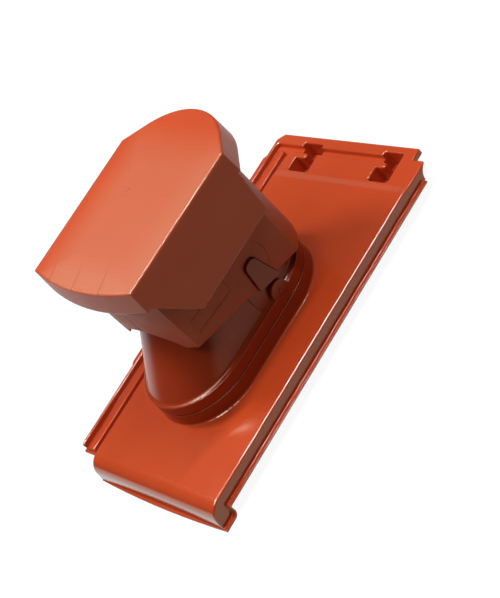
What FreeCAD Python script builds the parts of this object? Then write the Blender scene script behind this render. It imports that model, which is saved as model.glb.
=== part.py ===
import FreeCAD, Part
import math
import os

from FreeCAD import Vector

# Flat roof vent tile: a thin-walled plastic tile with an oval stack and a rain hood on it.
# All sizes in mm. While it is modelled, x = 0 is the middle of the hood, y = 0 the front of
# the nose, z = 0 the flat top of the tile, and +y points to the head, up the roof.

# Walls and play
plate_wall = 2.5
stack_wall = 3.0
hood_wall = 2.5
slide_play = 0.6
seat_play = 0.15

# Tile: flat field and right skirt
field_left = -105.5
field_right = 129.0
tile_length = 502.0
skirt_depth = 18.0
skirt_end_radius = 15.0
edge_radius = 3.0

# Tile: nose at the foot, with the thin lip under it
nose_depth = 33.0
nose_length = 24.0
nose_lean = 4.0
nose_radius = 20.0
nose_heel_radius = 8.0
nose_step_radius = 1.0
lip_reach = 0.5
lip_bow = 3.75

# Tile: flange along the bottom of the right skirt
flange_width = 5.5
flange_thick = 2.2
flange_end_back = 35.0

# Tile: lower lap at the head end with a water channel across, measured back from the head
lap_length = 64.5
lap_slope = 8.0
lap_drop = 2.0
lap_radius = 4.5
rib_foot_back = 33.5
rib_head_back = 25.5
channel_head_back = 16.0
channel_depth = 9.0
channel_radius = 6.0
field_corner_radius = 10.0
mouth_radius = 2.2
notch_width = 19.0
notch_length = 16.5
head_corner_radius = 4.0
head_wall_depth = 9.0

# Tile: two pockets in the lap, which are the batten nibs underneath; a rib's tip enters each
nib_depth = 27.0
pocket_foot_back = 53.0
pocket_head_back = 10.5
pocket_radius = 3.5
left_pocket_x = (-87.0, -52.0)
right_pocket_x = (58.0, 90.5)
left_tip_x = -69.0
right_tip_x = 73.0
rib_tip_radius = 3.5

# Tile: interlock along the left edge, measured out from the field
lock_width = 37.5
lock_bulge = 3.5
lock_bulge_foot = 144.0
lock_bulge_head_back = 40.0
lock_foot_y = 24.0
lock_depth = 15.0
lock_rim_width = 6.0
lock_groove_width = 10.0
lock_rib_width = 7.5
lock_rib_drop = 1.0
groove_edge_radius = 1.2
lock_corner_radius = 4.0
lock_head_cut = 10.0
lock_lip_reach = 4.0
lock_lip_thick = 2.2

# Oval collar on the tile and the gasket on it; the oval is placed from the pipe's axis
neck_y = 250.0
oval_foot_reach = 84.4
oval_head_reach = 22.8
collar_spread = 14.0
collar_height = 18.7
collar_draft = 1.2
collar_foot_fillet = 1.6
collar_rim_radius = 0.6
gasket_thick = 0.8
gasket_inset = 0.7

# Stack: band on the collar, leaning cone and round neck
band_height = 14.5
band_inset = 0.6
band_edge_radius = 1.4
spigot_reach = 11.0
ledge_side = 6.7
ledge_end = 4.2
ledge_fillet = 5.0
cone_height = 110.0
neck_straight = 1.0
neck_height = 5.0

# Air pipe with the bead that stops the hose, and the seal round it
pipe_radius = 58.0
pipe_wall = 2.5
pipe_rise = 23.0
hose_length = 30.0
bead_height = 3.0
bead_reach = 2.5
seal_gap = 3.0
seal_height = 6.0

# Screw lug on the ledge of the stack, placed from the pipe's axis
lug_reach = 15.5
lug_rise = 2.0
lug_radius = 13.0
lug_thick = 3.0
lug_screw_radius = 1.5
lug_head_radius = 2.8
lug_head_height = 1.2
lug_recess_reach = 1.7
lug_recess_width = 0.8
lug_recess_depth = 0.7
lug_screw_length = 7.0

# Hood baffle, placed from the pipe's axis and the top of the neck
baffle_side_gap = 7.0
baffle_foot_reach = 98.0
baffle_head_reach = 66.8
baffle_foot_bow = 10.0
baffle_head_bow = 40.2
baffle_rise = 29.0
baffle_foot_height = 89.4
baffle_head_height = 134.1
foot_arch_half = 54.0
foot_arch_rise = 24.9
head_arch_half = 60.0
head_arch_rise = 4.0
slit_top_margin = 10.0
slit_width_top = 0.7
slit_width_bottom = 2.0
deck_thick = 3.0
deck_half_length = 68.0

# Slot in each side of the baffle and the finger dish round it, placed from the pipe's axis
slot_bottom_reach = (-2.7, 30.2)
slot_top_reach = (2.0, 21.4)
slot_top_drop = 52.0
slot_corner_radius = 9.0
dish_radius = 27.0
dish_reach = 12.0
dish_drop = 59.0
dish_depth = 1.3

# Raised border of the empty panel on the right side of the baffle, placed like the slot
panel_reach = -54.3
panel_drop = 43.4
panel_length = 60.5
panel_height = 19.2
panel_tilt = -5.0
panel_line = 0.7
panel_proud = 0.3

# Catch of the stack: a pad behind the slot and a tongue in it
catch_play = 1.3
catch_proud = 3.0
catch_below = 4.0
pad_foot_reach = 17.5
pad_base_reach = 0.5
pad_waist_reach = 6.5
pad_waist_rise = 18.0
pad_rise = 6.0
pad_top_margin = 8.0
pad_corner_radius = 3.0

# Hood lid, placed from the pipe's axis and the top of the neck
lid_side_gap = 18.0
lid_foot_reach = 112.1
lid_head_reach = 73.7
lid_foot_bow = 13.0
lid_chamfer = 26.0
lid_head_bow = 28.0
lid_rise = 69.2
lid_skirt = 32.6
lid_flare_foot = 2.2
lid_flare_head = 1.5
lid_edge_radius = 3.0
side_plate_height = 91.2
side_plate_foot_reach = (108.9, 69.2)
side_plate_head_reach = (71.2, 65.8)
side_plate_radius = 6.0
post_radius = 5.0
post_across = 50.0
post_along = 57.0
peg_radius = 3.0
peg_length = 5.0

# Heights, widths and places that follow
skirt_z = -skirt_depth
nose_z = -nose_depth
rest_z = nose_z
lap_z = -lap_drop
rib_foot_y = tile_length - rib_foot_back
rib_head_y = tile_length - rib_head_back
channel_head_y = tile_length - channel_head_back
lock_left = field_left - lock_width
lock_rib_right = field_left - lock_groove_width
lock_rib_left = lock_rib_right - lock_rib_width
lock_rib_top = lap_z - lock_rib_drop
band_bottom = collar_height + gasket_thick
band_top = band_bottom + band_height
cone_top = band_top + cone_height
neck_top = cone_top + neck_height
neck_radius = pipe_radius + seal_gap + stack_wall
collar_half_width = neck_radius + collar_spread
pipe_top = neck_top + pipe_rise
baffle_half_width = neck_radius + baffle_side_gap + hood_wall
baffle_foot_y = neck_y - baffle_foot_reach
baffle_head_y = neck_y + baffle_head_reach
baffle_top = neck_top + baffle_rise
baffle_foot_bottom = baffle_top - baffle_foot_height
baffle_head_bottom = baffle_top - baffle_head_height
slot_top_z = neck_top - slot_top_drop
lid_half_width = baffle_half_width + lid_side_gap + hood_wall
lid_top = neck_top + lid_rise
lid_ceiling = lid_top - hood_wall
lid_low = lid_top - lid_skirt
to_frame = Vector(0, -neck_y, -rest_z)

# How far a cutting body runs past a face, how deep a joined body sinks in, and a fine limit
over = 5.0
bite = 1.0
fine = 0.01


# Outlines with rounded corners

def corner_edges(points):
    """Straight edges and corner arcs of a closed outline; each point is (vector, radius)."""
    cuts = []
    count = len(points)
    for i in range(count):
        here, radius = points[i]
        if radius == 0:
            cuts.append((here, here, here))
            continue
        back = (points[i - 1][0] - here).normalize()
        ahead = (points[(i + 1) % count][0] - here).normalize()
        half_angle = back.getAngle(ahead) / 2
        reach = radius / math.tan(half_angle)
        bisector = (back + ahead).normalize()
        crown = here + bisector * (radius / math.sin(half_angle) - radius)
        cuts.append((here + back * reach, crown, here + ahead * reach))
    edges = []
    for i in range(count):
        start, crown, end = cuts[i]
        following = cuts[(i + 1) % count][0]
        if start.distanceToPoint(end) > fine:
            edges.append(Part.Arc(start, crown, end).toShape())
        if end.distanceToPoint(following) > fine:
            edges.append(Part.makeLine(end, following))
    return edges


def rounded_face(points, place):
    """Face from (a, b) or (a, b, radius) points; place turns a and b into a vector."""
    spots = [(place(p[0], p[1]), p[2] if len(p) > 2 else 0) for p in points]
    return Part.Face(Part.Wire(corner_edges(spots)))


def plan_prism(points, z_low, z_high):
    face = rounded_face(points, lambda a, b: Vector(a, b, z_low))
    return face.extrude(Vector(0, 0, z_high - z_low))


def side_prism(points, x_low, x_high):
    face = rounded_face(points, lambda a, b: Vector(x_low, a, b))
    return face.extrude(Vector(x_high - x_low, 0, 0))


def front_prism(points, y_low, y_high):
    face = rounded_face(points, lambda a, b: Vector(a, y_low, b))
    return face.extrude(Vector(0, y_high - y_low, 0))


def rectangle(a_low, a_high, b_low, b_high, radius=0):
    corners = ((a_low, b_low), (a_high, b_low), (a_high, b_high), (a_low, b_high))
    return [(a, b, radius) for a, b in corners]


def box(x_low, x_high, y_low, y_high, z_low, z_high):
    size = (x_high - x_low, y_high - y_low, z_high - z_low)
    return Part.makeBox(*size, Vector(x_low, y_low, z_low))


def round_bar(radius, x, y, z_low, z_high):
    return Part.makeCylinder(radius, z_high - z_low, Vector(x, y, z_low))


def side_bar(radius, x_low, x_high, y, z):
    return Part.makeCylinder(radius, x_high - x_low, Vector(x_low, y, z), Vector(1, 0, 0))


def mirrored(shape):
    return shape.mirror(Vector(0, 0, 0), Vector(1, 0, 0))


def edges_where(shape, test):
    return [edge for edge in shape.Edges if test(edge.BoundBox)]


def loft(wires):
    return Part.makeLoft(wires, True, True)


# Ovals: two half circles joined by straight sides

def oval_wire(half_width, foot_y, head_y, z):
    right = [Vector(half_width, foot_y, z), Vector(half_width, head_y, z)]
    left = [Vector(-half_width, head_y, z), Vector(-half_width, foot_y, z)]
    head = Vector(0, head_y + half_width, z)
    foot = Vector(0, foot_y - half_width, z)
    return Part.Wire([
        Part.makeLine(right[0], right[1]),
        Part.Arc(right[1], head, left[0]).toShape(),
        Part.makeLine(left[0], left[1]),
        Part.Arc(left[1], foot, right[0]).toShape(),
    ])


def base_oval(half_width, z, stretch=0):
    return oval_wire(half_width, neck_y - oval_foot_reach - stretch,
                     neck_y + oval_head_reach + stretch, z)


def neck_oval(radius, z):
    return oval_wire(radius, neck_y - neck_straight, neck_y + neck_straight, z)


def upright(wire, z_high):
    """Prism that stands on a level wire and ends at z_high."""
    return Part.Face(wire).extrude(Vector(0, 0, z_high - wire.BoundBox.ZMin))


# Base plate

def lap_step(inset):
    """Step down from the flat field to the lap, inset below the sheet's face."""
    step_y = tile_length - lap_length
    return [(step_y, -inset, lap_radius), (step_y + lap_slope, lap_z - inset, lap_radius)]


def field_profile(head, low):
    """Side view of the field: nose roll, flat, lap, and the lower edge of its walls at low."""
    foot = [(0, nose_z), (nose_lean, 0, nose_radius)]
    lower = [
        (head, lap_z),
        (head, low),
        (nose_length, low, nose_step_radius),
        (nose_length, nose_z, nose_heel_radius),
    ]
    return foot + lap_step(0) + lower


def hollow_profile(head):
    """Side view of the space under the field, one wall in from its faces."""
    low = nose_z - plate_wall
    slope = nose_lean / nose_depth
    foot = [
        (plate_wall + slope * (low - nose_z), low),
        (plate_wall + nose_lean - slope * plate_wall, -plate_wall, nose_radius - plate_wall),
    ]
    end = head - plate_wall
    return foot + lap_step(plate_wall) + [(end, lap_z - plate_wall), (end, low)]


def field_block(right, head, low):
    """Field as a full block up to its right side and head, with its top edges rounded."""
    block = side_prism(field_profile(head, low), field_left, right)
    corner = edges_where(block, lambda b: b.XMin > right - fine and b.YMin > head - fine)
    block = block.makeFillet(head_corner_radius, corner)
    reach = head_corner_radius + fine
    rims = edges_where(block, lambda b: b.ZMax > low + fine and b.XLength + b.YLength > fine
                       and (b.XMin > right - reach or b.YMin > head - reach))
    block = block.makeFillet(edge_radius, rims)
    groove_side = edges_where(block, lambda b: b.ZMax > low + fine and b.XMax < field_left + fine
                              and b.YLength > fine)
    return block.makeFillet(groove_edge_radius, groove_side)


def field_hollow(right, head):
    return side_prism(hollow_profile(head), field_left + plate_wall, right - plate_wall)


def skirt_end():
    """Round cut that takes the right skirt up to the lap in front of the notch."""
    head = tile_length - notch_length
    return side_bar(skirt_end_radius, field_left + edge_radius, field_right + bite, head, skirt_z)


def field():
    """Sheet of the field, made of a wide and a long block, which leave the head notch."""
    wide = (field_right, tile_length - notch_length)
    long = (field_right - notch_width, tile_length)
    sheet = field_block(*wide, skirt_z).cut(skirt_end())
    sheet = sheet.fuse(field_block(*long, -head_wall_depth))
    return sheet.cut([field_hollow(*wide), field_hollow(*long)])


def nose_lip():
    """Thin lip under the nose, bowed a little towards the foot."""
    right = field_right + flange_width
    left = field_left
    start = Vector(left, -lip_reach, nose_z)
    crown = Vector((left + right) / 2, -lip_reach - lip_bow, nose_z)
    end = Vector(right, -lip_reach, nose_z)
    corners = [end, Vector(right, plate_wall, nose_z), Vector(left, plate_wall, nose_z), start]
    edges = [Part.Arc(start, crown, end).toShape()]
    edges += [Part.makeLine(a, b) for a, b in zip(corners, corners[1:])]
    return upright(Part.Wire(edges), nose_z + flange_thick)


def right_flange():
    """Flange that follows the bottom of the right skirt and wraps round the nose."""
    thick = flange_thick
    end_y = tile_length - flange_end_back
    points = [
        (0, nose_z),
        (nose_length, nose_z, nose_heel_radius),
        (nose_length, skirt_z, nose_step_radius),
        (end_y, skirt_z),
        (end_y, skirt_z + thick),
        (nose_length - thick, skirt_z + thick, nose_step_radius + thick),
        (nose_length - thick, nose_z + thick, nose_heel_radius - thick),
        (0, nose_z + thick),
    ]
    return side_prism(points, field_right - plate_wall, field_right + flange_width)


def lock_outline(inset):
    """Plan of the left interlock, smaller by inset, with a long bulge on its outside."""
    narrow = lock_left + inset
    wide = narrow - lock_bulge
    foot = lock_foot_y + inset
    head = tile_length - inset
    bulge_head = tile_length - lock_bulge_head_back
    head_side = field_left + 2 * edge_radius
    return [
        (field_left, foot),
        (field_left, channel_head_y),
        (head_side, channel_head_y),
        (head_side, head),
        (narrow + lock_head_cut, head, head_corner_radius),
        (narrow, head - lock_head_cut, head_corner_radius),
        (narrow, bulge_head + lock_bulge, lock_corner_radius),
        (wide, bulge_head - inset, lock_corner_radius),
        (wide, lock_bulge_foot + inset, lock_corner_radius),
        (narrow, lock_bulge_foot - lock_bulge, lock_corner_radius),
        (narrow, foot, lock_corner_radius),
    ]


def lock_shell():
    """Top sheet and outer walls of the interlock, its top edge rounded."""
    block = plan_prism(lock_outline(0), -lock_depth, lap_z)
    rims = edges_where(block, lambda b: b.ZMin > lap_z - fine and b.XMin < field_left - bite)
    block = block.makeFillet(edge_radius, rims)
    return block.cut(plan_prism(lock_outline(plate_wall), -lock_depth - bite, lap_z - plate_wall))


def lock_rib():
    """Top sheet of the rib between the interlock's channel and its groove."""
    low = lock_rib_top - plate_wall
    return box(lock_rib_left, lock_rib_right, lock_foot_y, rib_head_y, low, lock_rib_top)


def lock_lip():
    """Thin lip at the bottom of the interlock's foot."""
    plan = rectangle(lock_left, lock_rib_right, lock_foot_y - lock_lip_reach,
                     lock_foot_y + plate_wall, lock_lip_reach / 2)
    return plan_prism(plan, -lock_depth, -lock_depth + lock_lip_thick)


def channel_outline(grow):
    """Plan of the water channel: up the interlock on both sides of its rib, then across."""
    left = lock_left + lock_rim_width - grow
    foot = lock_foot_y - over
    tip = rib_head_y - grow
    end = right_pocket_x[0] + over
    return [
        (left, foot),
        (lock_rib_left + grow, foot),
        (lock_rib_left + grow, tip, rib_tip_radius - grow),
        (lock_rib_right - grow, tip, rib_tip_radius - grow),
        (lock_rib_right - grow, foot),
        (field_left + grow, foot),
        (field_left + grow, tip, field_corner_radius - grow),
        (end, tip),
        (end, channel_head_y + grow),
        (left, channel_head_y + grow, channel_radius + grow),
    ]


def pocket_outline(x_range, tip_x, grow):
    """Plan of a pocket; the tip of the lap's cross rib enters it from the left."""
    left = x_range[0] - grow
    right = x_range[1] + grow
    foot = tile_length - pocket_foot_back - grow
    head = tile_length - pocket_head_back + grow
    radius = pocket_radius + grow
    return [
        (left, foot, radius),
        (right, foot, radius),
        (right, head, radius),
        (left, head, radius),
        (left, rib_head_y - grow),
        (tip_x - grow, rib_head_y - grow, rib_tip_radius - grow),
        (tip_x - grow, rib_foot_y + grow, rib_tip_radius - grow),
        (left, rib_foot_y + grow),
    ]


def wall_round(outline, depth):
    """Wall of a recess pressed down into the lap to the given depth."""
    return plan_prism(outline(plate_wall), -depth - plate_wall, lap_z - plate_wall / 2)


def middle(edge):
    return Part.Vertex(edge.valueAt((edge.FirstParameter + edge.LastParameter) / 2))


def mouthed(outline, depth):
    """Hollow of a recess whose mouth in the lap is rounded outwards."""
    rim = rounded_face(outline(0), lambda a, b: Vector(a, b, lap_z)).OuterWire
    hollow = plan_prism(outline(0), -depth, lap_z + bite)
    body = hollow.fuse(plan_prism(outline(mouth_radius + fine), lap_z, bite)).removeSplitter()
    level = edges_where(body, lambda b: level_at(b, lap_z))
    mouth = [edge for edge in level if rim.distToShape(middle(edge))[0] < fine]
    return body.makeFillet(mouth_radius, mouth)


def channel_hollow():
    """Water channel, its mouth rounded along the outer rim and across the head."""
    plain = plan_prism(channel_outline(0), -channel_depth, bite)
    channel_middle = (lock_left + lock_rim_width + lock_rib_left) / 2
    corner_y = rib_head_y - field_corner_radius
    across_y = (rib_head_y + channel_head_y) / 2
    rounded = mouthed(channel_outline, channel_depth)
    zones = [
        box(lock_left, channel_middle, 0, tile_length, nose_z, bite),
        box(lock_left, field_right, across_y, tile_length, nose_z, bite),
        box(field_left, field_right, corner_y, tile_length, nose_z, bite),
    ]
    return plain.fuse([rounded.common(zone) for zone in zones])


def collar_top_half():
    return collar_half_width - collar_draft


def collar():
    """Upright oval collar round the opening, slightly narrower at its top."""
    foot = base_oval(collar_half_width, -plate_wall)
    return loft([foot, base_oval(collar_top_half(), collar_height)])


def level_at(bounds, z):
    return abs(bounds.ZMin - z) < fine and bounds.ZLength < fine


def half_reach(bounds):
    return max(-bounds.XMin, bounds.XMax)


def soften(tile):
    """Round the top of the interlock's rib, the foot of the collar and its outer rim."""
    rib = edges_where(tile, lambda b: level_at(b, lock_rib_top) and b.YMax > lock_foot_y + bite
                      and b.XMin > lock_rib_left - fine and b.XMax < lock_rib_right + fine)
    tile = tile.makeFillet(groove_edge_radius, rib)
    foot = edges_where(tile, lambda b: level_at(b, 0) and half_reach(b) < collar_half_width)
    tile = tile.makeFillet(collar_foot_fillet, foot)
    rim = edges_where(tile, lambda b: level_at(b, collar_height)
                      and half_reach(b) > collar_top_half() - fine)
    return tile.makeFillet(collar_rim_radius, rim)


def base_plate():
    pockets = [
        lambda grow: pocket_outline(left_pocket_x, left_tip_x, grow),
        lambda grow: pocket_outline(right_pocket_x, right_tip_x, grow),
    ]
    keep = box(lock_left, field_right, lock_foot_y, tile_length, nose_z, 0)
    walls = [wall_round(channel_outline, channel_depth).common(keep)]
    walls += [wall_round(outline, nib_depth) for outline in pockets]
    hollows = [channel_hollow()] + [mouthed(outline, nib_depth) for outline in pockets]
    above_rib = box(lock_rib_left - bite, lock_rib_right + bite, 0, rib_head_y + bite,
                    lock_rib_top, bite)
    opening = upright(base_oval(collar_top_half() - plate_wall, nose_z), collar_height + bite)
    tile = field().fuse(walls + [lock_shell(), lock_rib()])
    tile = tile.fuse([collar(), nose_lip(), right_flange(), lock_lip()])
    tile = tile.cut(hollows + [opening, above_rib])
    return soften(tile.removeSplitter())


# Stack and gasket

def stack_gasket():
    outer = base_oval(collar_top_half() - gasket_inset, collar_height)
    inner = base_oval(collar_top_half() - plate_wall + gasket_inset, collar_height)
    return upright(outer, band_bottom).cut(upright(inner, band_bottom))


def band_half_width():
    return collar_top_half() - band_inset


def cone(offset):
    """Leaning wall of the stack: oval at its foot, round at its neck, shrunk by offset."""
    half = band_half_width() - ledge_side - offset
    foot = base_oval(half, band_top, ledge_side - ledge_end)
    return loft([foot, neck_oval(neck_radius - offset, cone_top)])


def stack_outer():
    band = upright(base_oval(band_half_width(), band_bottom), band_top)
    rim = edges_where(band, lambda b: b.ZMin > band_top - fine)
    band = band.makeFillet(band_edge_radius, rim)
    body = band.fuse(cone(0)).removeSplitter()
    reach = band_half_width() - ledge_side + fine
    joint = edges_where(body, lambda b: abs(b.ZMin - band_top) < fine and b.ZLength < fine
                        and b.XMax < reach and b.XMin > -reach)
    body = body.makeFillet(ledge_fillet, joint)
    return body.fuse(upright(neck_oval(neck_radius, cone_top), neck_top))


def side_edge_z(y):
    """Height of the baffle's sloping lower edge at y."""
    share = (y - baffle_foot_y) / (baffle_head_y - baffle_foot_y)
    return baffle_foot_bottom + share * (baffle_head_bottom - baffle_foot_bottom)


def slot_side_y(side, z):
    """Place of one side of the slot at height z; side 0 is the foot side, 1 the head side."""
    bottom_y = neck_y + slot_bottom_reach[side]
    top_y = neck_y + slot_top_reach[side]
    share = (slot_top_z - z) / (slot_top_z - side_edge_z(bottom_y))
    return top_y + share * (bottom_y - top_y)


def slot_outline(inset):
    """Tapered outline of the catch slot in the side view; it runs on below the baffle."""
    low = baffle_head_bottom - over
    radius = slot_corner_radius - inset
    return [
        (slot_side_y(0, low) + inset, low),
        (slot_side_y(1, low) - inset, low),
        (slot_side_y(1, slot_top_z) - inset, slot_top_z - inset, radius),
        (slot_side_y(0, slot_top_z) + inset, slot_top_z - inset, radius),
    ]


def catch():
    """Catch on the right side: a pad behind the baffle and a tongue that fills the slot."""
    pad_face = baffle_half_width - hood_wall - slide_play
    root = neck_radius + stack_wall / 2
    foot_y = neck_y - pad_foot_reach
    low_y = [neck_y + reach for reach in slot_bottom_reach]
    top_y = [neck_y + reach for reach in slot_top_reach]
    pad_top = slot_top_z - pad_top_margin
    pad = side_prism([
        (foot_y, band_top - bite),
        (neck_y - pad_base_reach, band_top - bite),
        (neck_y + pad_waist_reach, band_top + pad_waist_rise, pad_corner_radius),
        (low_y[1] - catch_play, side_edge_z(low_y[1]) - catch_below, pad_corner_radius),
        (top_y[1] - catch_play, pad_top, pad_corner_radius),
        (top_y[0] + catch_play, pad_top, pad_corner_radius),
        (foot_y, side_edge_z(foot_y) + pad_rise),
    ], root, pad_face)
    tongue = side_prism(slot_outline(catch_play), root, baffle_half_width + catch_proud)
    below = side_prism([
        (baffle_foot_y, 0),
        (baffle_head_y, 0),
        (baffle_head_y, side_edge_z(baffle_head_y) - catch_below),
        (baffle_foot_y, side_edge_z(baffle_foot_y) - catch_below),
    ], 0, lid_half_width)
    return pad.fuse(tongue.cut(below))


def screw_lug():
    """Half-round lug that stands on the ledge of the right side."""
    outer = band_half_width()
    y = neck_y + lug_reach
    disc = side_bar(lug_radius, outer - lug_thick, outer, y, band_top + lug_rise)
    below = box(0, outer + bite, y - 2 * lug_radius, y + 2 * lug_radius, 0, band_top - lug_thick)
    return disc.cut(below)


def lug_bore():
    face = band_half_width()
    radius = lug_screw_radius + seat_play
    start = face - lug_screw_length - seat_play
    return side_bar(radius, start, face + bite, neck_y + lug_reach, band_top + lug_rise)


def vent_stack():
    spigot_half = collar_top_half() - plate_wall - slide_play
    spigot = upright(base_oval(spigot_half, collar_height - spigot_reach), band_bottom + bite)
    body = stack_outer().fuse([spigot, catch(), mirrored(catch()), screw_lug(),
                               mirrored(screw_lug())])
    hollow = upright(base_oval(spigot_half - stack_wall, nose_z), band_top)
    seal_seat = upright(neck_oval(neck_radius - stack_wall, cone_top), neck_top + bite)
    body = body.cut([hollow, cone(stack_wall), seal_seat, lug_bore(), mirrored(lug_bore())])
    return body.removeSplitter()


def lug_screw():
    """Small cross-recessed screw in the right lug, its tip in the wall of the stack."""
    face = band_half_width()
    y = neck_y + lug_reach
    z = band_top + lug_rise
    head = side_bar(lug_head_radius, face, face + lug_head_height, y, z)
    rim = edges_where(head, lambda b: b.XMin > face + lug_head_height - fine)
    head = head.makeFillet(lug_head_height / 2, rim)
    shank = side_bar(lug_screw_radius, face - lug_screw_length, face + fine, y, z)
    floor = face + lug_head_height - lug_recess_depth
    for across, up in ((lug_recess_reach, lug_recess_width / 2),
                       (lug_recess_width / 2, lug_recess_reach)):
        head = head.cut(box(floor, face + bite + lug_head_height, y - across, y + across,
                            z - up, z + up))
    return head.fuse(shank).removeSplitter()


# Air pipe and its seal

def inner_pipe():
    """Straight air pipe; its lower end takes a hose and stands level with the nose."""
    outer = round_bar(pipe_radius, 0, neck_y, rest_z, pipe_top)
    bead_z = rest_z + hose_length
    bead = round_bar(pipe_radius + bead_reach, 0, neck_y, bead_z, bead_z + bead_height)
    bead = bead.makeFillet(bead_height / 3, edges_where(bead, lambda b: b.ZLength < fine))
    bore = round_bar(pipe_radius - pipe_wall, 0, neck_y, rest_z - bite, pipe_top + bite)
    return outer.fuse(bead).cut(bore)


def pipe_seal():
    """Rubber ring that fills the gap between the pipe and the neck."""
    outside = neck_radius - stack_wall - seat_play
    ring = upright(neck_oval(outside, neck_top - seal_height), neck_top)
    return ring.cut(round_bar(pipe_radius + seat_play, 0, neck_y, 0, neck_top + bite))


# Hood baffle

def baffle_wire(z):
    """Plan of the baffle: straight sides, a flat bow at the foot and a deep one at the head."""
    half = baffle_half_width
    foot = [Vector(-half, baffle_foot_y, z), Vector(half, baffle_foot_y, z)]
    head = [Vector(half, baffle_head_y, z), Vector(-half, baffle_head_y, z)]
    foot_crown = Vector(0, baffle_foot_y - baffle_foot_bow, z)
    head_crown = Vector(0, baffle_head_y + baffle_head_bow, z)
    return Part.Wire([
        Part.Arc(foot[0], foot_crown, foot[1]).toShape(),
        Part.makeLine(foot[1], head[0]),
        Part.Arc(head[0], head_crown, head[1]).toShape(),
        Part.makeLine(head[1], foot[0]),
    ])


def arch_cut(half, rise, base_z, y_low, y_high):
    """Round-topped cut under an end wall, half wide each side and rise high."""
    radius = (half ** 2 + rise ** 2) / (2 * rise)
    bar = Part.makeCylinder(radius, y_high - y_low, Vector(0, y_low, base_z + rise - radius),
                            Vector(0, 1, 0))
    return bar.common(box(-half, half, y_low, y_high, base_z - bite, base_z + rise + bite))


def finger_dish():
    """Shallow round dish on the right side, deepest at its top and level at its foot."""
    disc = side_bar(dish_radius, 0, 2 * dish_depth, 0, 0)
    tilt = math.degrees(math.asin(dish_depth / (2 * dish_radius)))
    disc.rotate(Vector(0, 0, 0), Vector(0, 1, 0), -tilt)
    disc.translate(Vector(baffle_half_width - dish_depth / 2, neck_y + dish_reach,
                          neck_top - dish_drop))
    return disc


def panel_border():
    """Thin raised border of an empty panel on the right side."""
    half_length = panel_length / 2
    half_height = panel_height / 2
    outline = rectangle(-half_length, half_length, -half_height, half_height)
    border = side_prism(outline, -bite, panel_proud)
    half_length -= panel_line
    half_height -= panel_line
    outline = rectangle(-half_length, half_length, -half_height, half_height)
    border = border.cut(side_prism(outline, -bite, panel_proud))
    border.rotate(Vector(0, 0, 0), Vector(1, 0, 0), panel_tilt)
    border.translate(Vector(baffle_half_width, neck_y + panel_reach, neck_top - panel_drop))
    return border


def post_places():
    return [(x, neck_y + y) for x in (-post_across, post_across)
            for y in (-post_along, post_along)]


def deck():
    """Deck inside the baffle that sits on the neck, open round the pipe and at both ends."""
    inner = baffle_half_width - hood_wall / 2
    low = neck_top
    high = neck_top + deck_thick
    plate = box(-inner, inner, neck_y - deck_half_length, neck_y + deck_half_length, low, high)
    holes = [round_bar(pipe_radius + slide_play, 0, neck_y, low - bite, high + bite)]
    for x, y in post_places():
        holes.append(round_bar(peg_radius + seat_play, x, y, low - bite, high + bite))
    return plate.cut(holes)


def hood_baffle():
    half = baffle_half_width
    low = baffle_head_bottom - over
    outline = baffle_wire(low)
    outer = upright(outline, baffle_top)
    inner = Part.Face(outline).makeOffset2D(-hood_wall).extrude(Vector(0, 0, baffle_top - low))
    start = baffle_foot_y - baffle_foot_bow - over
    end = baffle_head_y + baffle_head_bow + over
    below = side_prism([
        (start, 0),
        (start, baffle_foot_bottom),
        (baffle_foot_y, baffle_foot_bottom),
        (baffle_head_y, baffle_head_bottom),
        (end, baffle_head_bottom),
        (end, 0),
    ], -half - bite, half + bite)
    foot_arch = arch_cut(foot_arch_half, foot_arch_rise, baffle_foot_bottom, start, baffle_foot_y)
    head_arch = arch_cut(head_arch_half, head_arch_rise, baffle_head_bottom, baffle_head_y, end)
    slit = front_prism([
        (-slit_width_bottom / 2, baffle_foot_bottom),
        (slit_width_bottom / 2, baffle_foot_bottom),
        (slit_width_top / 2, baffle_top - slit_top_margin),
        (-slit_width_top / 2, baffle_top - slit_top_margin),
    ], start, baffle_foot_y)
    slot = side_prism(slot_outline(0), half - 2 * hood_wall, half + bite)
    shell = outer.cut([inner, below, foot_arch, head_arch, slit])
    shell = shell.cut([slot, mirrored(slot), finger_dish(), mirrored(finger_dish())])
    return shell.fuse([deck(), panel_border()]).removeSplitter()


# Hood lid

def lid_wire(z, grow_foot=0, grow_head=0):
    """Plan of the lid: bowed foot edge, straight sides, cut corners and an arched head."""
    half = lid_half_width
    foot_y = neck_y - lid_foot_reach - grow_foot
    head_y = neck_y + lid_head_reach + grow_head
    right = [
        Vector(half, foot_y, z),
        Vector(half, head_y, z),
        Vector(half - lid_chamfer, head_y + lid_chamfer, z),
    ]
    left = [Vector(-v.x, v.y, z) for v in right]
    foot_crown = Vector(0, foot_y - lid_foot_bow, z)
    head_crown = Vector(0, head_y + lid_chamfer + lid_head_bow, z)
    return Part.Wire([
        Part.Arc(left[0], foot_crown, right[0]).toShape(),
        Part.makeLine(right[0], right[1]),
        Part.makeLine(right[1], right[2]),
        Part.Arc(right[2], head_crown, left[2]).toShape(),
        Part.makeLine(left[2], left[1]),
        Part.makeLine(left[1], left[0]),
    ])


def side_plate():
    """Deep plate that hangs from the right skirt and shades the side of the hood."""
    foot_top, foot_low = [neck_y - reach for reach in side_plate_foot_reach]
    head_top, head_low = [neck_y + reach for reach in side_plate_head_reach]
    bottom = lid_top - side_plate_height
    return side_prism([
        (foot_top, lid_low + bite),
        (foot_low, bottom, side_plate_radius),
        (head_low, bottom, side_plate_radius),
        (head_top, lid_low + bite),
    ], lid_half_width - hood_wall, lid_half_width)


def lid_posts():
    """Four posts that stand on the deck, each with a peg in the deck's hole."""
    foot = neck_top + deck_thick
    posts = []
    for x, y in post_places():
        posts.append(round_bar(post_radius, x, y, foot, lid_ceiling + hood_wall / 2))
        posts.append(round_bar(peg_radius, x, y, foot - peg_length, foot + bite))
    return posts


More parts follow.
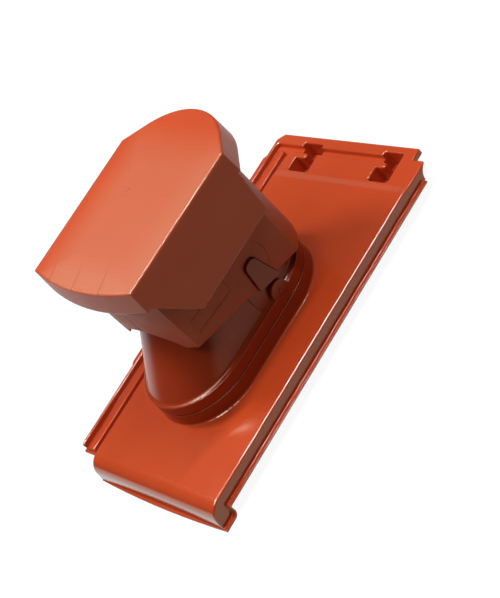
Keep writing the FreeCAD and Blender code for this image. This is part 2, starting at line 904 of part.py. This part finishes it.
def hood_lid():
    low_wire = lid_wire(lid_low, lid_flare_foot, lid_flare_head)
    top_wire = lid_wire(lid_top)
    outer = loft([low_wire, top_wire])
    rim = edges_where(outer, lambda b: b.ZMin > lid_top - fine)
    outer = outer.makeFillet(lid_edge_radius, rim)
    insides = [Part.Face(wire).makeOffset2D(-hood_wall).OuterWire for wire in (low_wire, top_wire)]
    inner = loft(insides)
    reach = 2 * lid_half_width
    inner = inner.cut(box(-reach, reach, 0, tile_length, lid_ceiling, lid_top + bite))
    body = outer.cut(inner).fuse([side_plate(), mirrored(side_plate())] + lid_posts())
    return body.removeSplitter()


parts = {
    "base_plate": base_plate,
    "stack_gasket": stack_gasket,
    "vent_stack": vent_stack,
    "lug_screw_right": lug_screw,
    "lug_screw_left": lambda: mirrored(lug_screw()),
    "inner_pipe": inner_pipe,
    "pipe_seal": pipe_seal,
    "hood_baffle": hood_baffle,
    "hood_lid": hood_lid,
}

os.makedirs("parts", exist_ok=True)
for name, make in parts.items():
    shape = make()
    shape.translate(to_frame)
    print(name, shape.isValid(), len(shape.Solids), round(shape.Volume / 1000, 1), "cm3")
    shape.exportStep("parts/" + name + ".step")
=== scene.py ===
# %% [markdown]
# A flat roof vent tile in terracotta-coloured plastic: a thin moulded tile, an oval stack on
# it, a pipe inside and a rain hood on top. The shapes come from the construction model, so
# this lesson is about finish: how moulded plastic catches light on its flats and its edges.

# %% Load the model
from collections import namedtuple
from functools import partial
import math

import bmesh
import bpy
from mathutils import Matrix, Quaternion, Vector

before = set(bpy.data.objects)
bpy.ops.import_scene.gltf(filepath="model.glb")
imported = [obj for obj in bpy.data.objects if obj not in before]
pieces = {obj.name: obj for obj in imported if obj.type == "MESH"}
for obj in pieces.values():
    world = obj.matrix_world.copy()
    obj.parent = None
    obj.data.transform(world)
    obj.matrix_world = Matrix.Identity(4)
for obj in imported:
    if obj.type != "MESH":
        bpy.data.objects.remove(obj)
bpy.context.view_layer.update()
print("pieces:", ", ".join(sorted(pieces)))

# %% [markdown]
# The drawing of the tile is in millimetres, and Blender works in metres. Every size on the
# object is written in millimetres here and multiplied by MM, so it can be checked with a rule.

# %% Millimetres
MM = 0.001


def point(x, y, z):
    """A place given in millimetres."""
    return Vector((x, y, z)) * MM


# %% [markdown]
# The camera and the lamps are set up in the same two steps: the object is put into the scene,
# and then it is pointed at something. They could be turned by hand, with three angles each,
# but a place and a target are easier to think about, so one helper works out the turn.

# %% Stand and aim


def new_object(name, data):
    """Put a camera, a lamp or a mesh into the scene."""
    item = bpy.data.objects.new(name, data)
    bpy.context.collection.objects.link(item)
    return item


def aim(item, place, target, roll=0):
    """Stand a camera or lamp at a place, looking at a target, rolled about its line of sight."""
    gaze = (Vector(target) - Vector(place)).to_track_quat("-Z", "Y")
    item.rotation_mode = "QUATERNION"
    item.rotation_quaternion = gaze @ Quaternion((0, 0, 1), roll)
    item.location = place


print("cameras and lamps look along their own -Z axis")

# %% [markdown]
# The camera comes first, because every later choice is judged through it. It stands far off
# with a long lens, looks down on the right-hand side of the tile, and is rolled, so that the
# tile seems to lie on a steep roof. The picture is upright, so Blender lays the longer side
# of the sensor along its height.

# %% Camera
camera_place = point(1447.47, -499.71, 1170.58)
camera_target = point(80.22, -19.24, 102.98)
camera_roll = math.radians(-46.194)
image_height_px = 598
focal_px = 1614.15
sensor_side = 36  # millimetres

lens = bpy.data.cameras.new("camera")
lens.sensor_width = sensor_side
lens.lens = focal_px * sensor_side / image_height_px
camera = new_object("camera", lens)
aim(camera, camera_place, camera_target, camera_roll)
bpy.context.scene.camera = camera
print("lens:", round(lens.lens, 2), "mm")

# %% [markdown]
# Studio light. A key lamp high on the left brightens the lid and throws the soft shadow of
# the hood over the flat of the tile. A large soft lamp over the foot fills the flats. A long,
# narrow strip lamp hardly lights anything: it is there to be mirrored, because every rounded
# edge that runs up the roof shows it as one thin pale line. A low card beyond the head gives
# the lap step its soft band. One even dome would be simpler, but glossy plastic would look
# dull under it.

# %% Lamps
# Each lamp: where it stands, what it points at and its two sides, in metres, and its watts.
STUDIO = {
    "key": ((-0.94, -0.16, 1.66), (0, 0, 0.1), (0.4, 0.4), 17),
    "overhead": ((0.12, -0.50, 1.75), (0, 0, 0.1), (1.4, 1.0), 13),
    "strip": ((0.25, 0.48, 1.70), (0.1, 0.1, 0.1), (0.06, 0.75), 13),
    "head_card": ((-1.37, 1.11, 0.74), (0, 0.1, 0.05), (0.7, 0.5), 0.32),
}
for name, (place, target, sides, watts) in STUDIO.items():
    light = bpy.data.lights.new(name, "AREA")
    light.shape = "RECTANGLE"
    light.size, light.size_y = sides
    light.energy = watts
    aim(new_object(name, light), place, target)
print("lamps:", ", ".join(STUDIO))

# %% [markdown]
# The world adds a little light from all sides, so that the shaded side of the hood keeps its
# colour. The Standard view transform shows a colour as it is written. A softer film look
# would be pleasing, but it would hide whether the pigment is right.

# %% World
WORLD_STRENGTH = 0.08

world = bpy.data.worlds.new("room")
world.use_nodes = True
backdrop = world.node_tree.nodes["Background"]
backdrop.inputs["Color"].default_value = (1, 1, 1, 1)
backdrop.inputs["Strength"].default_value = WORLD_STRENGTH
bpy.context.scene.world = world
bpy.context.scene.view_settings.view_transform = "Standard"
print("world strength:", WORLD_STRENGTH)

# %% [markdown]
# Every material below is a small net of nodes. They could be drawn in the shader editor, but
# in a script a net is easier to read as a list of steps. So each step is one call, which makes
# a node and fills its inputs, with a plain value or with the output of an earlier step.

# %% Nodes as steps
Recipe = namedtuple("Recipe", "material nodes links")


def new_recipe(name):
    """An empty material, with its nodes and links at hand."""
    material = bpy.data.materials.new(name)
    material.use_nodes = True
    return Recipe(material, material.node_tree.nodes, material.node_tree.links)


def fill(recipe, node, inputs):
    """Fill inputs of a node: an output of another node is linked, anything else is a value."""
    for socket, value in inputs.items():
        if isinstance(value, bpy.types.NodeSocket):
            recipe.links.new(value, node.inputs[socket])
        else:
            node.inputs[socket].default_value = value


def add(recipe, kind, inputs=None, **settings):
    """A new node of one kind, with its settings made before its inputs are filled."""
    node = recipe.nodes.new(kind)
    for setting, value in settings.items():
        setattr(node, setting, value)
    fill(recipe, node, inputs or {})
    return node


print("a recipe holds:", ", ".join(Recipe._fields))

# %% [markdown]
# Three kinds of step are needed all the time: a sum or product of two values, a ramp, which
# turns a distance or a slope into a share between 0 and 1, and a split, which gives the three
# axes of a place or a direction.

# %% Sums, ramps and axes


def calculate(recipe, operation, *values):
    """The result of one Math node."""
    return add(recipe, "ShaderNodeMath", dict(enumerate(values)), operation=operation).outputs[0]


def ramp(recipe, value, low, high, at_low=0, at_high=1):
    """at_low up to low, at_high from high on, and straight in between."""
    limits = {"From Min": low, "From Max": high, "To Min": at_low, "To Max": at_high}
    return add(recipe, "ShaderNodeMapRange", {"Value": value, **limits}).outputs["Result"]


def axes(recipe, place):
    """The x, y and z of a place or a direction."""
    return add(recipe, "ShaderNodeSeparateXYZ", {0: place}).outputs


print("steps at hand:", calculate.__name__, ramp.__name__, axes.__name__)

# %% [markdown]
# The floor is a plain sheet of pale paper. Lamps strong enough to make it white would also
# bleach the tile. So its own colour is a quiet grey, and it gets light of its own only where
# the camera sees it, straight or mirrored in the plastic. It reads as white paper and still
# keeps the soft shadow of the tile.

# %% Floor
FLOOR_DROP = 0.3 * MM  # just below the foot of the tile, so the two never lie in one plane
FLOOR_HALF = 6  # metres from its middle to each side
PAPER_GREY = (0.12, 0.12, 0.12, 1)
PAPER_GLOW = 0.93

paper = new_recipe("floor_paper")
plain = paper.nodes["Principled BSDF"]
fill(paper, plain, {"Base Color": PAPER_GREY, "Roughness": 0.9, "Specular IOR Level": 0.1})
glow = add(paper, "ShaderNodeEmission", {"Color": (1, 1, 1, 1), "Strength": PAPER_GLOW})
bright = add(paper, "ShaderNodeAddShader", {0: plain.outputs[0], 1: glow.outputs[0]})
path = add(paper, "ShaderNodeLightPath").outputs
seen = calculate(paper, "MAXIMUM", path["Is Camera Ray"], path["Is Glossy Ray"])
seen = calculate(paper, "MAXIMUM", seen, path["Is Transmission Ray"])
choice = add(paper, "ShaderNodeMixShader", {"Fac": seen, 1: plain.outputs[0],
                                            2: bright.outputs[0]})
fill(paper, paper.nodes["Material Output"], {"Surface": choice.outputs[0]})

sheet = bmesh.new()
bmesh.ops.create_grid(sheet, x_segments=1, y_segments=1, size=FLOOR_HALF,
                      matrix=Matrix.Translation((0, 0, -FLOOR_DROP)))
floor = new_object("floor", bpy.data.meshes.new("floor"))
sheet.to_mesh(floor.data)
sheet.free()
floor.data.materials.append(paper.material)
print("floor at", round(floor.data.vertices[0].co.z / MM, 2), "mm")

# %% [markdown]
# Pigment. The plastic is coloured right through, yet never quite evenly, because the melt
# cools at different speeds. One flat colour would look like paint, and a picture of plastic
# would need to be wrapped around every piece. A slow noise that drifts between two close
# colours is enough, and it fits every shape, because it is a function of the place alone.

# %% Pigment
COLOUR_SCALE = 9  # waves in a metre, so each patch is as wide as a hand
NOISE_MIDDLE = (0.3, 0.7)  # nearly all of a noise lies between these two


def noise(recipe, place, scale, detail=2):
    """A soft random pattern, with so many waves in a metre."""
    inputs = {"Vector": place, "Scale": scale, "Detail": detail}
    return add(recipe, "ShaderNodeTexNoise", inputs).outputs["Fac"]


def mix_colours(recipe, share, under, over):
    """One colour over another, by the share that covers it."""
    inputs = {"Factor": share, "A": under, "B": over}
    return add(recipe, "ShaderNodeMix", inputs, data_type="RGBA").outputs["Result"]


def pigment(recipe, place, dark, light):
    """A colour that drifts slowly between two close ones."""
    drift = ramp(recipe, noise(recipe, place, COLOUR_SCALE), *NOISE_MIDDLE)
    return mix_colours(recipe, drift, (*dark, 1), (*light, 1))


print("colour patches:", round(1 / COLOUR_SCALE / MM), "mm wide")

# %% [markdown]
# Gloss. How sharply a piece mirrors depends on the polish of its mould, and that drifts a
# little too, in smaller patches. On the matt lid, handling has polished the edges. Edges
# could be painted by hand, but a Bevel node finds them by itself: it rounds the direction of
# the surface near an edge, so where its answer differs from the face, an edge is near.

# %% Gloss
GLOSS_SCALE = 40  # waves in a metre
EDGE_SAMPLES = 8  # enough for a smooth edge in a picture of this size
POLISH_REACH = 3 * MM
POLISH_TURN = (0.96, 0.998)  # cosine between the rounded and the true direction


def rounded(recipe, radius):
    """The direction of the surface, as if every edge had this radius."""
    return add(recipe, "ShaderNodeBevel", {"Radius": radius}, samples=EDGE_SAMPLES).outputs[0]


def roughness(recipe, place, smooth, rough, polished):
    """A drifting roughness; polished is the share of it that is left on polished edges."""
    wear = noise(recipe, place, GLOSS_SCALE, detail=4)
    drift = ramp(recipe, wear, *NOISE_MIDDLE, smooth, rough)
    if not polished:
        return drift
    face = add(recipe, "ShaderNodeNewGeometry").outputs["True Normal"]
    turn = add(recipe, "ShaderNodeVectorMath", {0: rounded(recipe, POLISH_REACH), 1: face},
               operation="DOT_PRODUCT").outputs["Value"]
    flat = ramp(recipe, turn, *POLISH_TURN)
    share = calculate(recipe, "MULTIPLY_ADD", flat, 1 - polished, polished)
    return calculate(recipe, "MULTIPLY", drift, share)


print("polish reaches", round(POLISH_REACH / MM, 1), "mm in from an edge")

# %% [markdown]
# Edge lines. A moulded edge is never truly sharp. On the tile, each edge that runs up the
# roof is a tiny round mirror, and shows a lamp as one thin white line. The edges could be
# bevelled in the mesh, but the mesh of the construction model stays as it is. A glossier
# plastic would mirror more too, but then every flat would mirror the room and lose colour.
#
# So a clear coat lies only where the rounded surface faces neither straight up nor straight
# sideways. The stack and the lid get less of it. On the tile a thinner coat also covers what
# faces the foot, because the front of the nose mirrors the pale floor. The coat follows the
# rounded direction, as the plastic under it does. Without that link it would follow the sharp
# mesh, and each line would break up.

# %% Edge lines
COAT_SIDEWAYS = (0.12, 0.30)  # how much the surface has to face left or right
COAT_UPWARDS = (0.74, 0.86)  # how much it has to face up
COAT_FOOTWARDS = (0.80, 0.97)  # how much it has to face the foot, for the nose
COAT_ROUGHNESS = 0.10
COAT_IOR = 2.2


def edge_coat(recipe, direction, coat, nose_coat):
    """How much clear coat lies at a place, from the rounded direction of the surface."""
    x, y, z = axes(recipe, direction)
    sideways = ramp(recipe, calculate(recipe, "ABSOLUTE", x), *COAT_SIDEWAYS)
    weight = calculate(recipe, "MULTIPLY", sideways, ramp(recipe, z, *COAT_UPWARDS))
    weight = calculate(recipe, "MULTIPLY", weight, coat)
    if not nose_coat:
        return weight
    footwards = ramp(recipe, calculate(recipe, "MULTIPLY", y, -1), *COAT_FOOTWARDS)
    return calculate(recipe, "MAXIMUM", weight,
                     calculate(recipe, "MULTIPLY", footwards, nose_coat))


print("the edge coat mirrors", round(100 * ((COAT_IOR - 1) / (COAT_IOR + 1)) ** 2),
      "percent of light that falls straight on it")

# %% [markdown]
# One recipe for all the plastic. It puts pigment, gloss and edges together, and adds a fine
# grain, which the mould leaves on the surface, and any larger relief. Grain and relief could
# be cut into the mesh, but they are far finer than its triangles, so a Bump node shades them.
# Its distance of 1 means that a height is in metres. Two pieces have a patch of a second
# colour, which is painted light: painted shade on the collar of the tile, and a painted sheen
# on the top of the lid. The gloss is tinted a little warm, because the haze on pigmented
# plastic is brownish, not grey.

# %% Plastic
WARM_GLOSS = (1, 0.85, 0.57, 1)


def plastic(name, dark, light, gloss, grain_size, grain_depth, edge, specular=0.5, relief=None,
            patch=None, patch_is_bare=False, polished=None, coat=None, nose_coat=None):
    """A plastic from two close colours, a range of roughness and a grain.

    Grain and edge are in metres. On edges, polished is the share of the roughness that is
    left, and coat is how much clear coat lies there. On what faces the foot it is nose_coat.
    """
    recipe = new_recipe(name)
    shader = recipe.nodes["Principled BSDF"]
    place = add(recipe, "ShaderNodeTexCoord").outputs["Object"]
    colour = pigment(recipe, place, dark, light)
    # A patch is painted light: painted shade on the tile's collar, painted sheen on the lid.
    if patch:
        patch_colour, share = patch(recipe, place)
        colour = mix_colours(recipe, share, colour, (*patch_colour, 1))

    direction = rounded(recipe, edge)
    grain = noise(recipe, place, 1 / grain_size, detail=3)
    height = calculate(recipe, "MULTIPLY", grain, grain_depth)
    if relief:
        height = calculate(recipe, "ADD", height, relief(recipe, place))
    bump = add(recipe, "ShaderNodeBump", {"Distance": 1, "Height": height, "Normal": direction})

    fill(recipe, shader, {
        "Base Color": colour,
        "Roughness": roughness(recipe, place, *gloss, polished),
        "Normal": bump.outputs["Normal"],
        "Specular IOR Level": specular,
        "Specular Tint": WARM_GLOSS,
    })
    if coat:
        weight = edge_coat(recipe, direction, coat, nose_coat)
        if patch_is_bare:
            weight = calculate(recipe, "MULTIPLY", weight,
                               calculate(recipe, "SUBTRACT", 1, share))
        fill(recipe, shader, {"Coat Weight": weight, "Coat Normal": direction,
                              "Coat Roughness": COAT_ROUGHNESS, "Coat IOR": COAT_IOR})
    return recipe.material


print("tint of the gloss:", WARM_GLOSS[:3])

# %% [markdown]
# The flat of the tile has one faint round sink mark in front of the stack, as moulded plates
# often have where the wall is thicker below. The mark could be pressed into the mesh, but it
# is less than a tenth of a millimetre deep. The collar that carries the stack is thicker too.
# Its walls are painted a deeper colour: painted shade, for the shade of the hood over them. A
# separate piece could carry that colour, but the collar is moulded in one with the tile, so
# the colour changes at a height instead. Both are functions of the place on the tile, so
# they stay where they are from any side.

# %% Tile and its collar
SINK_MIDDLE = (92 * MM, -150 * MM)
SINK_RADII = (3 * MM, 11 * MM)  # the bottom is flat up to the first, the wall ends at the second
SINK_DEPTH = 0.07 * MM
# Painted shade: the collar walls are drawn darker for the shade of the hood over them.
COLLAR_PAINTED_SHADE = (0.29, 0.027, 0.0066)
COLLAR_SHADE_START = (34 * MM, 37 * MM)


def away_from(recipe, x, y, middle):
    """How far a place lies from a middle, seen from above."""
    do = partial(calculate, recipe)
    along_x = do("POWER", do("SUBTRACT", x, middle[0]), 2)
    along_y = do("POWER", do("SUBTRACT", y, middle[1]), 2)
    return do("SQRT", do("ADD", along_x, along_y))


def tile_relief(recipe, place):
    """Height of the flat round its sink mark, in metres."""
    x, y, z = axes(recipe, place)
    away = away_from(recipe, x, y, SINK_MIDDLE)
    return calculate(recipe, "MULTIPLY", ramp(recipe, away, *SINK_RADII), SINK_DEPTH)


def collar_painted_shade(recipe, place):
    """The painted shade on the collar walls: its colour, and its share at a place."""
    x, y, z = axes(recipe, place)
    return COLLAR_PAINTED_SHADE, ramp(recipe, z, *COLLAR_SHADE_START)


print("sink mark:", round(2 * SINK_RADII[1] / MM), "mm wide")

# %% [markdown]
# The tile and the stack come from polished moulds, so both shine, the tile most of all. The
# stack has a slightly softer gloss, and its colour is darker than the tile's: painted shade,
# for the shade of the hood over it. One shared material would be quicker, but two mouldings
# from two machines seldom match.

# %% Finish of tile and stack
tile_finish = plastic(
    "tile_plastic", dark=(0.55, 0.062, 0.0145), light=(0.59, 0.068, 0.0160),
    gloss=(0.16, 0.19), grain_size=1.6 * MM, grain_depth=0.01 * MM, edge=1.2 * MM,
    specular=0.9, relief=tile_relief, patch=collar_painted_shade, patch_is_bare=True,
    coat=1.0, nose_coat=0.35)
# The stack's darker colour is painted shade, for the shade of the hood over it.
stack_finish = plastic(
    "stack_plastic", dark=(0.37, 0.038, 0.0088), light=(0.40, 0.042, 0.0100),
    gloss=(0.21, 0.26), grain_size=1.6 * MM, grain_depth=0.01 * MM, edge=0.6 * MM,
    specular=0.32, coat=0.4)
print("nodes in the tile's plastic:", len(tile_finish.node_tree.nodes))

# %% [markdown]
# The top of the lid is not quite flat. It is crowned like a cushion and falls away to its
# four sides, with soft hips that run in from the corners. The mesh could be sculpted, but the
# fall is two and a half millimetres at most, so it is drawn as relief in the material. Each
# side falls by itself, and a smooth maximum joins the falls, which is what makes the hips.

# %% Crown of the lid
# Each side: its axis and way, where its fall starts and ends, and how deep it falls.
LID_SIDES = {
    "left": ("x", -1, 35 * MM, 94 * MM, 2.2 * MM),
    "head": ("y", 1, 40 * MM, 125 * MM, 2.4 * MM),
    "right": ("x", 1, 45 * MM, 94 * MM, 1.2 * MM),
    "foot": ("y", -1, 78 * MM, 120 * MM, 1.6 * MM),
}
FALL_CURVE = 1.5
HIP_WIDTH = 0.1 * MM


def lid_fall(recipe, x, y, sides):
    """How far the crown has fallen away towards these sides, in metres."""
    do = partial(calculate, recipe)
    falls = []
    for side in sides:
        axis, way, start, end, depth = LID_SIDES[side]
        share = ramp(recipe, do("MULTIPLY", x if axis == "x" else y, way), start, end)
        falls.append(do("MULTIPLY", do("POWER", share, FALL_CURVE), depth))
    fall = falls[0]
    for other in falls[1:]:
        fall = do("SMOOTH_MAX", fall, other, HIP_WIDTH)
    return fall


print("deepest fall:", round(max(side[-1] for side in LID_SIDES.values()) / MM, 1), "mm")

# %% [markdown]
# Three thin flow marks near the foot of the lid show where the melt ran together. Nobody
# engraves them, as they are accidents of moulding. Each is a low ridge along a leaning line:
# highest on it, gone two millimetres beside it, and fading out towards the middle of the lid.
# Cut into the mesh they would need thousands of triangles. As relief they need a distance.

# %% Flow marks
MARK_STARTS = (-54 * MM, -6 * MM, 42 * MM)  # where each mark meets the foot of the lid
MARK_FOOT = -118 * MM
MARK_LEAN = 0.28  # how far it leans to the left, for each unit up the roof
MARK_FADE = (88 * MM, 104 * MM)  # down the roof: none up to the first, all from the second
MARK_WIDTHS = (0.3 * MM, 1.8 * MM)
MARK_HEIGHT = 0.5 * MM  # more than real, so that a picture of this size can show it
LID_TOP = (250.5 * MM, 251.1 * MM)  # the marks stay on the top and off the skirts


def ridge(recipe, off, widths):
    """1 on a line and 0 beside it, by the distance off the line."""
    return calculate(recipe, "SUBTRACT", 1, ramp(recipe, off, *widths))


def with_flow_marks(recipe, height, x, y, z):
    """The height of the lid, in metres, with its flow marks on it."""
    do = partial(calculate, recipe)
    leaning = do("ADD", x, do("MULTIPLY", do("SUBTRACT", y, MARK_FOOT), MARK_LEAN))
    fade = do("MULTIPLY", ramp(recipe, do("MULTIPLY", y, -1), *MARK_FADE),
              ramp(recipe, z, *LID_TOP))
    for start in MARK_STARTS:
        off = do("ABSOLUTE", do("SUBTRACT", leaning, start))
        mark = do("MULTIPLY", ridge(recipe, off, MARK_WIDTHS), fade)
        height = do("ADD", height, do("MULTIPLY", mark, MARK_HEIGHT))
    return height


print("flow marks:", len(MARK_STARTS))

# %% [markdown]
# A small ring near the middle of the lid shows where the melt was let into the mould, and was
# broken off. It is the same ridge again, this time along a circle. With it the relief of the
# lid is complete: crown, flow marks and gate ring.

# %% Gate ring
GATE_MIDDLE = (-21.9 * MM, 9.1 * MM)
GATE_RADIUS = 2.6 * MM
GATE_WIDTHS = (0.2 * MM, 1.4 * MM)
GATE_HEIGHT = 0.7 * MM


def lid_relief(recipe, place):
    """Height of the lid's crown, flow marks and gate ring, in metres."""
    do = partial(calculate, recipe)
    x, y, z = axes(recipe, place)
    height = do("MULTIPLY", lid_fall(recipe, x, y, LID_SIDES), -1)
    height = with_flow_marks(recipe, height, x, y, z)
    off = do("ABSOLUTE", do("SUBTRACT", away_from(recipe, x, y, GATE_MIDDLE), GATE_RADIUS))
    return do("ADD", height, do("MULTIPLY", ridge(recipe, off, GATE_WIDTHS), GATE_HEIGHT))


print("gate ring:", round(2 * GATE_RADIUS / MM, 1), "mm across")

# %% [markdown]
# The grained top of the lid also looks paler than its sides that fall away to the left and to
# the head, as matt plastic does where it faces the light. A stronger lamp could do it, but
# then the rest of the hood would be too bright. So the same fall drives a painted sheen: a
# paler colour, strongest where the lid drops to the right and to the foot, that stands in for
# the light on the top.

# %% Painted sheen on the lid
# Painted sheen: a paler colour that stands in for the light on the top of the lid.
SHEEN_PAINT_COLOUR = (0.50, 0.122, 0.058)
SHEEN_PAINT_LEAST = 0.7  # its share on the crown, before the drop to the right and the foot
SHEEN_PAINT_TOP = (249.0 * MM, 250.8 * MM)  # it grows over the rounded rim, up to the top
SHEEN_PAINT_ENDS = 1.6 * MM  # it is gone where the left or the head side has fallen this far
SHEEN_PAINT_FULL = 0.8 * MM  # it is full where the right or the foot side has fallen this far


def lid_painted_sheen(recipe, place):
    """The painted sheen on the grained top: its paler colour, and how much of it shows at a
    place.
    """
    do = partial(calculate, recipe)
    x, y, z = axes(recipe, place)
    ended = ramp(recipe, lid_fall(recipe, x, y, ["left", "head"]), 0, SHEEN_PAINT_ENDS)
    grown = ramp(recipe, lid_fall(recipe, x, y, ["right", "foot"]), 0, SHEEN_PAINT_FULL)
    share = do("MULTIPLY", do("SUBTRACT", 1, ended),
               do("MULTIPLY_ADD", grown, 1 - SHEEN_PAINT_LEAST, SHEEN_PAINT_LEAST))
    return SHEEN_PAINT_COLOUR, do("MULTIPLY", share, ramp(recipe, z, *SHEEN_PAINT_TOP))


print("bloom colour:", SHEEN_PAINT_COLOUR)

# %% [markdown]
# The hood is clipped on, and both its pieces come from a mould with a matt grain. It scatters
# the lamp into one even, paler orange and hides scratches. The baffle below stays plain. The
# lid has its relief, its painted sheen and polished edges with a thin coat.

# %% Finish of the hood
hood_finish = plastic(
    "hood_plastic", dark=(0.46, 0.056, 0.0130), light=(0.50, 0.062, 0.0148),
    gloss=(0.50, 0.58), grain_size=0.7 * MM, grain_depth=0.05 * MM, edge=0.6 * MM,
    specular=0.6)
lid_finish = plastic(
    "lid_plastic", dark=(0.48, 0.054, 0.0115), light=(0.52, 0.060, 0.0132),
    gloss=(0.42, 0.46), grain_size=0.7 * MM, grain_depth=0.08 * MM, edge=1.8 * MM,
    specular=0.52, relief=lid_relief, patch=lid_painted_sheen, polished=0.45, coat=0.4)
print("nodes in the lid's plastic:", len(lid_finish.node_tree.nodes))

# %% [markdown]
# The small things come from other batches. The screws in the lugs are a deeper red plastic,
# the air pipe is dark grey, and the gasket and the seal are black rubber, which hardly
# shines. The same recipe makes them all, because rubber, too, is a pigment with a fine grain.

# %% Finish of screws, pipe and seals
screw_finish = plastic(
    "screw_plastic", dark=(0.36, 0.050, 0.020), light=(0.42, 0.060, 0.024),
    gloss=(0.30, 0.40), grain_size=1.0 * MM, grain_depth=0.02 * MM, edge=0.2 * MM)
pipe_finish = plastic(
    "pipe_plastic", dark=(0.030, 0.030, 0.032), light=(0.040, 0.040, 0.042),
    gloss=(0.40, 0.50), grain_size=1.0 * MM, grain_depth=0.03 * MM, edge=0.5 * MM)
rubber_finish = plastic(
    "seal_rubber", dark=(0.006, 0.006, 0.006), light=(0.012, 0.012, 0.012),
    gloss=(0.60, 0.75), grain_size=0.6 * MM, grain_depth=0.04 * MM, edge=0.2 * MM,
    specular=0.1)
print("nodes in the rubber:", len(rubber_finish.node_tree.nodes))

# %% [markdown]
# Each finish goes on the material slots of its pieces. The meshes stay as the construction
# model has them: new copies could carry the finish as well, but then shapes and checks would
# no longer speak of the same thing.

# %% Dress the pieces
FINISHES = {
    "base_plate": tile_finish,
    "vent_stack": stack_finish,
    "hood_baffle": hood_finish,
    "hood_lid": lid_finish,
    "lug_screw_right": screw_finish,
    "lug_screw_left": screw_finish,
    "inner_pipe": pipe_finish,
    "pipe_seal": rubber_finish,
    "stack_gasket": rubber_finish,
}
for name, finish in FINISHES.items():
    for slot in pieces[name].material_slots:
        slot.material = finish
print("dressed:", len(FINISHES), "pieces with", len(set(FINISHES.values())), "finishes")
